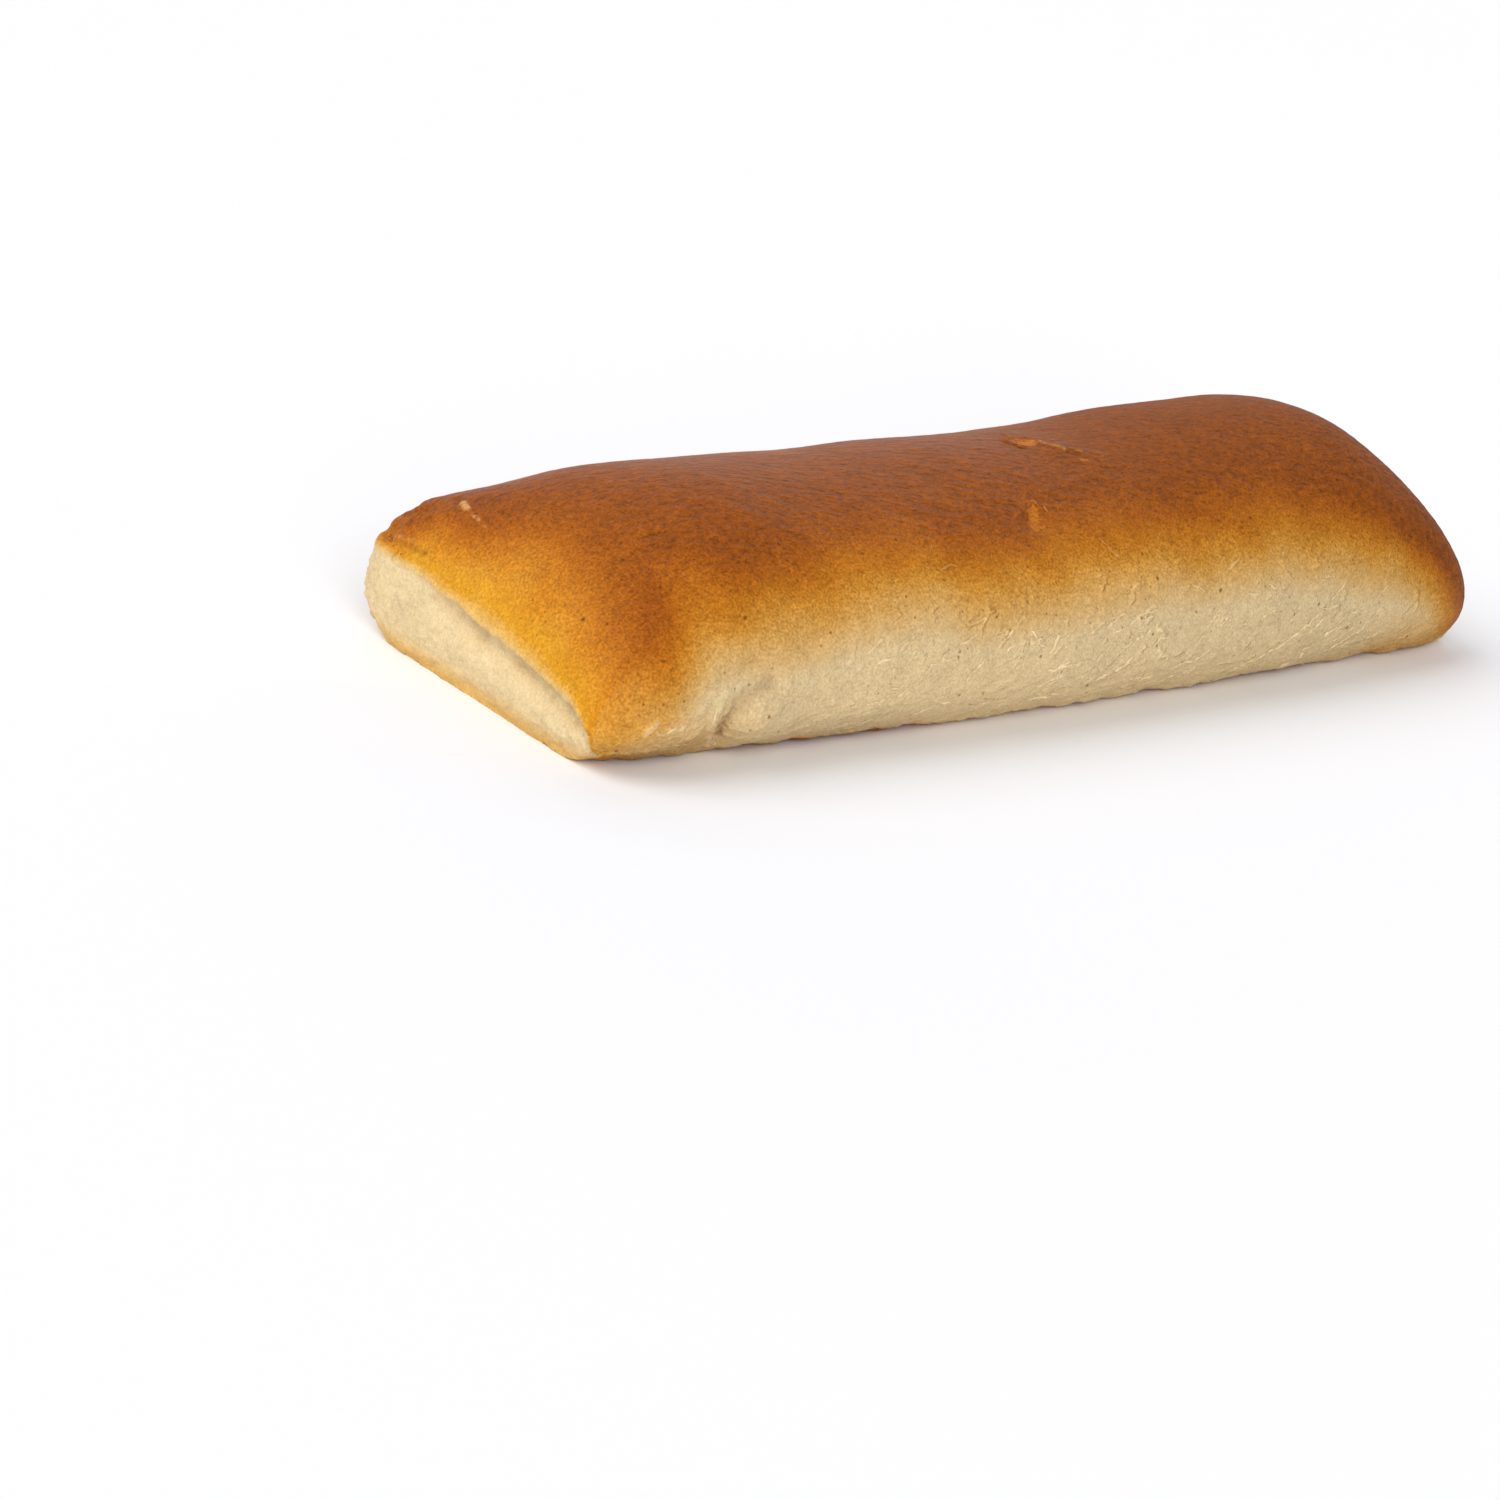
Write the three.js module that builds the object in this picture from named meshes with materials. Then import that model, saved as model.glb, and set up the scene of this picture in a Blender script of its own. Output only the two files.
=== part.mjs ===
// A bread-dough sausage roll, baked whole: one browned crust closed all round, lying on its flat baked base.
// Millimetres, +Z up. +X runs along the roll from the broad near end to the narrower far end, -Y is the
// long side with the pinched fold, and the origin lies under the middle of the roll.

import * as THREE from 'three';

// Driving dimensions of the whole roll
const LENGTH = 160;
const WIDTH = 51.8;
const CROWN_HEIGHT = 27.8;

// The crown swells where the filling is thickest, and sags a little towards the near end
const CROWN_SWELLS = [
  { size: 2.4, centre: 48.8, spread: 30.4 },
  { size: -0.45, centre: -45.8, spread: 30.4 },
];

// Each end is pressed down to a low lip round a bare dough face.
// reach is how far from the end the crown starts to drop, cornerDepth and cornerReach round off the plan,
// squareness shapes the lip's top, drift carries the end towards +Y, tilt raises the lip towards +Y,
// lipReach and footReach carry the lip and the foot out past the length, and baseShare is the base's width
// as a share of the girth
const NEAR_END = {
  lipHeight: 9.8,
  reach: 29.7,
  roundness: 1.94,
  cornerDepth: 3.4,
  cornerReach: 9,
  squareness: 3.1,
  drift: 3.1,
  lipReach: 1.25,
  footReach: 0,
  tilt: 0.27,
  baseShare: 0.76,
};
const FAR_END = {
  lipHeight: 11.4,
  reach: 24.1,
  roundness: 1.93,
  cornerDepth: 4.8,
  cornerReach: 12.7,
  squareness: 2.4,
  drift: 2.4,
  lipReach: -0.7,
  footReach: 2,
  tilt: 0,
  baseShare: 0.87,
};

// Cross-section: a rounded crown over the girth, and sides that tuck in to the rim of the flat base
const CROWN_SQUARENESS = 1.97;
const GIRTH_LEVEL = 0.32;
const END_GIRTH_LEVEL = 0.47;
const BASE_SHARE = 0.75;
const TUCK_POWER = 1.84;

// The rim of the base is ragged where the crust met the baking sheet: size and length of each wave
const RIM_WAVES = [
  { size: 0.16, length: 23, shift: 0.6 },
  { size: 0.13, length: 11.5, shift: 2.1 },
  { size: 0.12, length: 7.2, shift: 4.0 },
];

// Bare dough face of each end: a groove under the lip, a soft bulge below, and a low crust edge at the foot
const FACE_GROOVE_DEPTH = 1.1;
const FACE_GROOVE_LEVEL = 0.24;
const FACE_GROOVE_SPREAD = 0.24;
const FACE_GROOVE_BACK = 17;
const FACE_GROOVE_FADE = 12;
const FACE_BULGE = 0.7;
const FACE_BLEND_STEPS = 6;
const FOOT_EDGE_SIZE = 0.5;
const FOOT_EDGE_START = 10;
const FOOT_EDGE_STEP = 5;
const FOOT_EDGE_POWER = 3;

// Slow unevenness of the risen dough: size of each wave and how fast it turns along X, Y and Z
const LUMPS = [
  { size: 0.11, turns: [0.11, 0.13, 0.05], shift: 0.4 },
  { size: 0.1, turns: [-0.17, 0.09, 0.12], shift: 2.2 },
  { size: 0.08, turns: [0.27, -0.21, 0.16], shift: 4.4 },
];
const LUMP_FADE_HEIGHT = 4;

// Round swellings and hollows: the cheek beside the pinched fold, and the dip behind the lifted flake
const CHEEK = { centre: [-58, -23.8, 5.5], size: 0.8, spread: 5 };
const FLAKE_DIP = { centre: [-69, 21.5, 21], size: -0.5, spread: 5 };

// Marks that follow a path over the crust, raised where size is above zero and sunk where it is below:
// the fold pinched into the -Y side by the near end, which deepens towards the base, the lifted edges of
// two tears, and a shallow patch where the thin top skin came off
const CRUST_MARKS = [
  { size: -0.45, width: 2, path: [[-60.5, -23.5, 11.8], [-63.1, -23.6, 10.1]] },
  { size: -1.1, width: 2.1, path: [[-64.5, -23.6, 7.7], [-64.2, -22.4, 5], [-62.6, -20.6, 2.5]] },
  { size: 0.45, width: 1.5, path: [[6.5, 6.5, 27.6], [5.6, 1.5, 28], [8, -0.5, 28.2], [11.1, -4.2, 28]] },
  { size: 0.22, width: 1.3, path: [[-52.4, -7, 26.2], [-47.9, -11.5, 24.8]] },
  { size: -0.4, width: 2, path: [[-5, -11.6, 25.8], [-9.4, -15.2, 24]] },
];

// Crust lifted in a thin flake over the +Y corner of the near end
const FLAKE_PATH = [[-80.6, 25.1, 11.9], [-78.6, 24.3, 15.1], [-75.9, 22.4, 17.8]];
const FLAKE_SIZE = 0.25;
const FLAKE_WIDTH = 2.2;
const FLAKE_END = -74.6;
const FLAKE_END_STEP = 1.2;

// Mesh density
const NEAR_STEPS = 26;
const MIDDLE_STEPS = 39;
const FAR_STEPS = 14;
const CROWN_STEPS = 32;
const SIDE_STEPS = 9;
const FACE_ROWS = 9;
const CROWN_SAMPLES = 96;

const HALF_LENGTH = LENGTH / 2;
const RING_POINTS = 2 * CROWN_STEPS;
const BASE_STEPS = CROWN_STEPS - 2 * SIDE_STEPS;

const { clamp, lerp, smoothstep } = THREE.MathUtils;

// A smooth bump of height one
function bell(offset, spread) {
  return Math.exp(-((offset / spread) ** 2));
}

// Rises from zero at an edge to one at the reach, as the quarter of a superellipse does
function shoulder(distance, reach, roundness) {
  const left = 1 - clamp(distance / reach, 0, 1);
  return (1 - left ** roundness) ** (1 / roundness);
}

// How far a rounded corner of the plan is cut back
function cornerCut(distance, end) {
  return end.cornerDepth * (1 - shoulder(distance, end.cornerReach, 2));
}

function signedPower(value, power) {
  return Math.sign(value) * Math.abs(value) ** power;
}

// Sizes of the cross-section at a place along the roll
function sectionSizes(x) {
  const fromNear = x + HALF_LENGTH;
  const fromFar = HALF_LENGTH - x;
  const nearShare = 1 - shoulder(fromNear, NEAR_END.reach, 2);
  const farShare = 1 - shoulder(fromFar, FAR_END.reach, 2);
  const middleShare = 1 - nearShare - farShare;

  let height = CROWN_HEIGHT;
  for (const { size, centre, spread } of CROWN_SWELLS) {
    height += size * bell(x - centre, spread);
  }
  height = lerp(NEAR_END.lipHeight, height, shoulder(fromNear, NEAR_END.reach, NEAR_END.roundness));
  height = lerp(FAR_END.lipHeight, height, shoulder(fromFar, FAR_END.reach, FAR_END.roundness));

  const blend = (middle, near, far) => middle * middleShare + near * nearShare + far * farShare;
  const nearRun = clamp(-x / HALF_LENGTH, 0, 1);
  const farRun = clamp(x / HALF_LENGTH, 0, 1);
  return {
    x,
    height,
    girth: height * blend(GIRTH_LEVEL, END_GIRTH_LEVEL, END_GIRTH_LEVEL),
    halfWidth: WIDTH / 2 - cornerCut(fromNear, NEAR_END) - cornerCut(fromFar, FAR_END),
    squareness: blend(CROWN_SQUARENESS, NEAR_END.squareness, FAR_END.squareness),
    baseShare: blend(BASE_SHARE, NEAR_END.baseShare, FAR_END.baseShare),
    drift: NEAR_END.drift * nearRun ** 2 + FAR_END.drift * farRun ** 2,
    lipShift: blend(0, -NEAR_END.lipReach, FAR_END.lipReach),
    footShift: blend(0, -NEAR_END.footReach, FAR_END.footReach),
    tilt: blend(0, NEAR_END.tilt, FAR_END.tilt),
  };
}

// The crown's outline from the +Y girth over the top to the -Y girth, in evenly spaced points
function crownOutline(section) {
  const power = 2 / section.squareness;
  const points = [];
  for (let i = 0; i <= CROWN_SAMPLES; i += 1) {
    const turn = (Math.PI * i) / CROWN_SAMPLES;
    const y = section.halfWidth * signedPower(Math.cos(turn), power);
    const rise = signedPower(Math.sin(turn), power);
    points.push(new THREE.Vector2(y, lerp(section.girth, section.height, rise)));
  }
  return new THREE.SplineCurve(points).getSpacedPoints(CROWN_STEPS);
}

// Half the width of the flat base on one side, with its ragged rim
function baseHalfWidth(section, side) {
  let half = section.halfWidth * section.baseShare;
  for (const wave of RIM_WAVES) {
    half += wave.size * Math.sin((2 * Math.PI * section.x) / wave.length + wave.shift * (2 + side));
  }
  return half;
}

// One side's outline from just below the girth to the rim of the base
function sideOutline(section, side) {
  const baseHalf = baseHalfWidth(section, side);
  const points = [];
  for (let i = 1; i <= SIDE_STEPS; i += 1) {
    const down = i / SIDE_STEPS;
    const y = lerp(section.halfWidth, baseHalf, down ** TUCK_POWER);
    points.push(new THREE.Vector2(side * y, section.girth * (1 - down)));
  }
  return points;
}

// The whole cross-section as one ring: crown, -Y side, base, +Y side
function sectionOutline(section) {
  const front = sideOutline(section, -1);
  const back = sideOutline(section, 1);
  const base = [];
  for (let i = 1; i < BASE_STEPS; i += 1) {
    base.push(new THREE.Vector2().lerpVectors(front.at(-1), back.at(-1), i / BASE_STEPS));
  }
  return [...crownOutline(section), ...front, ...base, ...back.reverse()];
}

// The ring in space, with the ends' lips and feet carried out and the near lip tilted
function crustRing(x) {
  const section = sectionSizes(x);
  return sectionOutline(section).map((point) => {
    const level = clamp(point.y / section.height, 0, 1);
    const across = point.x / section.halfWidth;
    const z = point.y * (1 + section.tilt * across * level);
    const shift = lerp(section.footShift, section.lipShift, level);
    return new THREE.Vector3(x + shift, point.x + section.drift, z);
  });
}

// Places along the roll where it gets a ring, closer together towards the ends where the crown drops
function stationPlaces() {
  const places = [];
  for (let i = 0; i < NEAR_STEPS; i += 1) {
    const turn = (Math.PI * i) / (2 * NEAR_STEPS);
    places.push(-HALF_LENGTH + NEAR_END.reach * (1 - Math.cos(turn)));
  }
  const middleStart = -HALF_LENGTH + NEAR_END.reach;
  const middleEnd = HALF_LENGTH - FAR_END.reach;
  for (let i = 0; i <= MIDDLE_STEPS; i += 1) {
    places.push(lerp(middleStart, middleEnd, i / MIDDLE_STEPS));
  }
  for (let i = 1; i <= FAR_STEPS; i += 1) {
    const turn = (Math.PI * i) / (2 * FAR_STEPS);
    places.push(middleEnd + FAR_END.reach * Math.sin(turn));
  }
  return places;
}

// How far the dough face lies behind its lip, from the lip at level zero to the foot at level one
function faceDepth(y, level) {
  const span = smoothstep(FACE_GROOVE_BACK - y, 0, FACE_GROOVE_FADE);
  const groove = FACE_GROOVE_DEPTH * span * bell(level - FACE_GROOVE_LEVEL, FACE_GROOVE_SPREAD);
  const bulge = FACE_BULGE * Math.sin(Math.PI * level);
  const foot = FOOT_EDGE_SIZE * smoothstep(y - FOOT_EDGE_START, 0, FOOT_EDGE_STEP) * level ** FOOT_EDGE_POWER;
  return groove - bulge - foot;
}

// Fills one end with columns that run from the lip down to the foot, ending in the girth points
function addEndFace(points, triangles, ringStart, ring, inward) {
  const columns = [];
  for (let j = 0; j <= CROWN_STEPS; j += 1) {
    const lipIndex = ringStart + j;
    const footIndex = ringStart + ((RING_POINTS - j) % RING_POINTS);
    const lip = ring[j];
    const foot = ring[(RING_POINTS - j) % RING_POINTS];
    const column = [lipIndex];
    for (let row = 1; row < FACE_ROWS; row += 1) {
      if (lipIndex === footIndex) {
        column.push(lipIndex);
        continue;
      }
      const level = row / FACE_ROWS;
      const point = new THREE.Vector3().lerpVectors(lip, foot, level);
      const fromCorner = Math.min(j, CROWN_STEPS - j);
      point.x += inward * faceDepth(point.y, level) * smoothstep(fromCorner, 0, FACE_BLEND_STEPS);
      column.push(points.length);
      points.push(point);
    }
    column.push(footIndex);
    columns.push(column);
  }
  for (let j = 0; j < CROWN_STEPS; j += 1) {
    for (let row = 0; row < FACE_ROWS; row += 1) {
      const corners = [columns[j][row], columns[j + 1][row], columns[j + 1][row + 1], columns[j][row + 1]];
      addQuad(triangles, inward > 0 ? corners.reverse() : corners);
    }
  }
}

// Two triangles for four corners, leaving out one that has no area
function addQuad(triangles, [a, b, c, d]) {
  for (const corners of [[a, b, c], [a, c, d]]) {
    if (new Set(corners).size === 3) {
      triangles.push(...corners);
    }
  }
}

// The smooth roll before its relief: rings joined along the length and closed by the two end faces
function smoothRoll() {
  const rings = stationPlaces().map(crustRing);
  const points = rings.flat();
  const triangles = [];
  for (let i = 0; i + 1 < rings.length; i += 1) {
    for (let j = 0; j < RING_POINTS; j += 1) {
      const next = (j + 1) % RING_POINTS;
      const here = i * RING_POINTS;
      const there = here + RING_POINTS;
      addQuad(triangles, [here + j, here + next, there + next, there + j]);
    }
  }
  addEndFace(points, triangles, 0, rings[0], 1);
  addEndFace(points, triangles, (rings.length - 1) * RING_POINTS, rings.at(-1), -1);

  const geometry = new THREE.BufferGeometry().setFromPoints(points);
  geometry.setIndex(triangles);
  return geometry;
}

// Shortest distance from a point to a path of straight stretches
function distanceToPath(point, path) {
  const nearest = new THREE.Vector3();
  let shortest = Infinity;
  for (let i = 0; i + 1 < path.length; i += 1) {
    const stretch = new THREE.Line3(new THREE.Vector3(...path[i]), new THREE.Vector3(...path[i + 1]));
    stretch.closestPointToPoint(point, true, nearest);
    shortest = Math.min(shortest, nearest.distanceTo(point));
  }
  return shortest;
}

// Height of the crust's relief over the smooth roll
function crustRelief(point) {
  let lumps = 0;
  for (const { size, turns, shift } of LUMPS) {
    lumps += size * Math.sin(point.dot(new THREE.Vector3(...turns)) + shift);
  }
  let relief = lumps * smoothstep(point.z, 0, LUMP_FADE_HEIGHT);
  for (const { centre, size, spread } of [CHEEK, FLAKE_DIP]) {
    relief += size * bell(point.distanceTo(new THREE.Vector3(...centre)), spread);
  }
  for (const { path, size, width } of CRUST_MARKS) {
    relief += size * bell(distanceToPath(point, path), width);
  }
  const flakeShare = 1 - smoothstep(point.x, FLAKE_END, FLAKE_END + FLAKE_END_STEP);
  relief += FLAKE_SIZE * flakeShare * bell(distanceToPath(point, FLAKE_PATH), FLAKE_WIDTH);
  return relief;
}

// Moves every point above the base out or in along the surface by the relief there
function addRelief(geometry) {
  geometry.computeVertexNormals();
  const positions = geometry.getAttribute('position');
  const normals = geometry.getAttribute('normal');
  const point = new THREE.Vector3();
  const normal = new THREE.Vector3();
  for (let i = 0; i < positions.count; i += 1) {
    point.fromBufferAttribute(positions, i);
    normal.fromBufferAttribute(normals, i);
    if (point.z > 0) {
      point.addScaledVector(normal, crustRelief(point));
      positions.setXYZ(i, point.x, point.y, Math.max(point.z, 0));
    }
  }
}

// Puts the origin under the middle of the roll's box, on the plane of its base
function centreOnBase(geometry) {
  geometry.computeBoundingBox();
  const { min, max } = geometry.boundingBox;
  geometry.translate(-(min.x + max.x) / 2, -(min.y + max.y) / 2, -min.z);
}

function makeSausageRoll() {
  const geometry = smoothRoll();
  addRelief(geometry);
  centreOnBase(geometry);
  geometry.computeVertexNormals();
  const crust = new THREE.MeshStandardMaterial({ color: 0xbc7430, roughness: 0.55, metalness: 0 });
  const roll = new THREE.Mesh(geometry, crust);
  roll.name = 'sausage_roll';
  return roll;
}

const part = new THREE.Group();
part.add(makeSausageRoll());

export default part;
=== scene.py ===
"""Looks of a bread-dough sausage roll: browned crown, pale sides, bare dough ends and torn skin."""

import math
import random

import bmesh
import bpy
from mathutils import Color, Matrix, Vector
from mathutils.bvhtree import BVHTree


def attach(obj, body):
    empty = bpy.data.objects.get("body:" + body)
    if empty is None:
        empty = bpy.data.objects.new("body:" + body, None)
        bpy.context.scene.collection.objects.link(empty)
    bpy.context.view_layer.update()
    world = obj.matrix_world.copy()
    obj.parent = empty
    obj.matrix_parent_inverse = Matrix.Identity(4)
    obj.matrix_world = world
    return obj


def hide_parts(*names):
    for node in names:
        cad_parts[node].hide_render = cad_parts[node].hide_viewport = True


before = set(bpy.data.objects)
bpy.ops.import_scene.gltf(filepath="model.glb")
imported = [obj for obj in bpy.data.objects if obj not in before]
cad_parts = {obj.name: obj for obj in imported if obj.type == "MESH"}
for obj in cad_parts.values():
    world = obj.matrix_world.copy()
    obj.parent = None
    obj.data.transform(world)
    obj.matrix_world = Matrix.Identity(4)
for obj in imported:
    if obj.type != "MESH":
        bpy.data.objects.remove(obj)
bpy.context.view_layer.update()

MM = 0.001
FAR_OFF = 200 * MM
SCREEN_WHITE = 255

# How finely a noise is broken up, and the middle of its range
PLAIN = 0.0
SOFT = 1.0
ROUGH = 2.0
CRUMBLY = 3.0
FLUFFY = 4.0
NOISE_MIDDLE = 0.5

# Many values below are ramps: the low and the high of what they follow, then their own value at each,
# or 0 and 1 where that is left out

# The camera that took the roll: it looks at a point on the table and is turned about its own axis
CAMERA_PLACE = (-400.2 * MM, -351.85 * MM, 188.52 * MM)
CAMERA_AIM = (-54.78 * MM, -20.16 * MM, 0.0)
CAMERA_TURN = math.radians(12.4)
CAMERA_VIEW = math.radians(20)
CAMERA_SENSOR = 36.0
CAMERA_CLIP = 10 * MM

# Studio: a pale table, a soft key from behind the near end, a soft fill from the front, a broad low light
# from behind that gives the crown its sheen, and an even white room
TABLE_HALF = 4.0
TABLE_CLOUD = 0.4
KEY = {"from": (-0.62, 0.30, 0.72), "strength": 1.7, "spread": math.radians(50)}
FILL = {"from": (-0.55, -0.75, 0.55), "strength": 1.75, "spread": math.radians(40)}
BACK = {"from": (0.62, 0.64, 0.4), "strength": 0.8, "spread": math.radians(70)}
ROOM_COLOUR = (1.0, 1.0, 1.0, 1.0)
ROOM_STRENGTH = 0.32
BACKDROP_STRENGTH = 0.985

# How the solid's mesh is merged and refined: the gap and the angle for pairing its triangles, the steps of
# subdivision, and how firmly the sharp edges are kept
MERGE_GAP = 0.01 * MM
PAIR_ANGLE = math.radians(60)
REFINE_STEPS = 2
EDGE_ANGLE = math.radians(42)
EDGE_FIRMNESS = 0.55

# Browning: the line along the roll where the crust is half brown, as places along and heights on the side in
# millimetres, how far it strays, and, as a ramp along the roll, how far up it takes to turn from pale to brown
BROWN_LINE = [
    (-82, 10.0),
    (-76, 10.8),
    (-71, 13.6),
    (-64, 17.6),
    (-55, 17.8),
    (-40, 20.1),
    (-31, 20.4),
    (-25, 18.8),
    (-20, 18.8),
    (-8, 19.2),
    (10, 20.4),
    (20, 20.0),
    (30, 20.9),
    (38, 20.4),
    (50, 18.3),
    (56, 17.2),
    (62, 15.1),
    (72, 8.8),
    (82, 3.0),
]
HALF_BROWN = 0.5
BROWN_STRAY = {"size": 12 * MM, "height": 1.2 * MM}
BROWN_FADE = (52 * MM, 70 * MM, 13.0 * MM, 9.5 * MM)

# Bare dough face at each end: where it starts, the lip's place and height, its tilt and top, where it rounds
# down at one side, how far from the lip the crust stays golden, and where it is full brown
NEAR_FACE = {
    "start": -78.6 * MM,
    "lip_at": -81.5 * MM,
    "way": -1.0,
    "lip": 9.6 * MM,
    "tilt": 0.115,
    "top": 11.3 * MM,
    "side": -20.4 * MM,
    "gold": 17 * MM,
    "full": 26 * MM,
}
FAR_FACE = {
    "start": 78.2 * MM,
    "lip_at": 79.6 * MM,
    "way": 1.0,
    "lip": 10.6 * MM,
    "tilt": 0.0,
    "top": 11.0 * MM,
    "side": -20.0 * MM,
    "gold": 4 * MM,
    "full": 7 * MM,
}
LIP_ROUNDING = 5.0
FACE_RAG = {"size": 3 * MM, "height": 0.9 * MM}
FACE_TURN = (-0.6 * MM, 0.6 * MM)
FACE_EDGE = (-0.9 * MM, 1.0 * MM)

# Gold by a lip: how brown it is at the lip and where the gold ends, the cream at the lip, the share of the
# gold past which it browns, how it fades, and how it shrinks towards the back, the front and the foot
LIP_BROWNING = 0.22
GOLD_BROWNING = 0.84
LIP_CREAM = (0.0, 2.6 * MM, -0.17, 0.0)
BROWNS_FROM = 0.8
GOLD_FADE = (0.15 * NEAR_FACE["gold"], 1.2 * NEAR_FACE["gold"], 1.0, 0.0)
BACK_GOLD = (0.0, 18 * MM, 1.0, 2.0)
FRONT_GOLD = (-18 * MM, -4 * MM, 1.35, 1.0)
FOOT_GOLD = (2.0 * MM, 7.5 * MM, 2.2, 1.0)

# The lifted crust at the back corner of the near end: how it browns as if far from the lip, and its scallops
CORNER_PLACE = (-79.2 * MM, 22.4 * MM, 15.4 * MM)
CORNER_LIFT = (0.0, 7.5 * MM, 13 * MM, 0.0)
CORNER_RAG = {"size": 2.4 * MM, "height": 1.3 * MM}
CORNER_FADE = (2.25 * MM, 7.5 * MM, 1.0, 0.0)

# Tan feet of the two ends, as a ramp along the roll and one upwards, the thin burnt rim, and the base's
# browning as a ramp over how far up a place faces
FOOT_TANS = [
    ((-74 * MM, -54 * MM, 0.36, 0.0), (0.0, 12 * MM, 1.0, 0.0)),
    ((48 * MM, 72 * MM, 0.0, 0.34), (0.0, 15 * MM, 1.0, 0.0)),
]
RIM_LINE = {"height": 0.5 * MM, "rag": 1.5 * MM, "size": 4 * MM, "browning": 0.96}
RIM_BURN = {"middle": -42 * MM, "reach": 15 * MM, "height": 1.5 * MM}
BASE_BROWNING = (-0.97, -0.85, 0.74, 0.0)

# Relief of the crust, outwards along the surface and dying out towards the flat base
SWELL = {"size": 15 * MM, "height": 0.45 * MM}
SIDE_TURN = ("Y_AXIS", math.radians(27))
CREPE = {"length": 9.0 * MM, "gap": 2.4 * MM, "height": 0.5 * MM, "crest": 0.26 * MM, "sharpness": 12.0}
CREPE_FADE = (0.15, 0.6, 1.0, 0.15)
RIM_RAG = {"size": 3.2 * MM, "height": 1.3 * MM}
RIM_FADE = (0.2 * MM, 2.6 * MM, 1.0, 0.0)
FACE_FLUFF = {"size": 3.4 * MM, "height": 0.17 * MM}
LIP_GROOVE = {"below": 1.7 * MM, "reach": 1.3 * MM, "height": -0.6 * MM, "patch": 4 * MM}
GROOVE_FADE = (4 * MM, 14 * MM, 1.0, 0.0)
GROOVE_SHARE = (0.3, 0.7, 0.4, 1.3)
LIP_BEAD = {"below": -0.4 * MM, "reach": 0.7 * MM, "height": 0.28 * MM}
CHEEK = {"place": (-59.6 * MM, -25.0 * MM, 7.0 * MM), "reach": 3.4 * MM, "height": 0.6 * MM}
BASE_KEEP = (0.0, 1.2 * MM)
BASE_LAYER = 0.02 * MM

# Fine wrinkles on the dough's sides: slanting lines that bend, break off and lie in patches along the roll
WRINKLE = {"length": 8.0 * MM, "gap": 2.3 * MM, "bends": 1.3, "stray": 0.5}
WRINKLE_LINE = (0.0, 0.13, 1.0, 0.0)
WRINKLE_BREAK = {"size": 2.4 * MM, "ramp": (0.48, 0.62)}
WRINKLE_PATCH = {"size": 11 * MM, "ramp": (0.4, 0.6)}
WRINKLE_SPREAD = (-52 * MM, -24 * MM, 0.25, 1.0)

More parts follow.
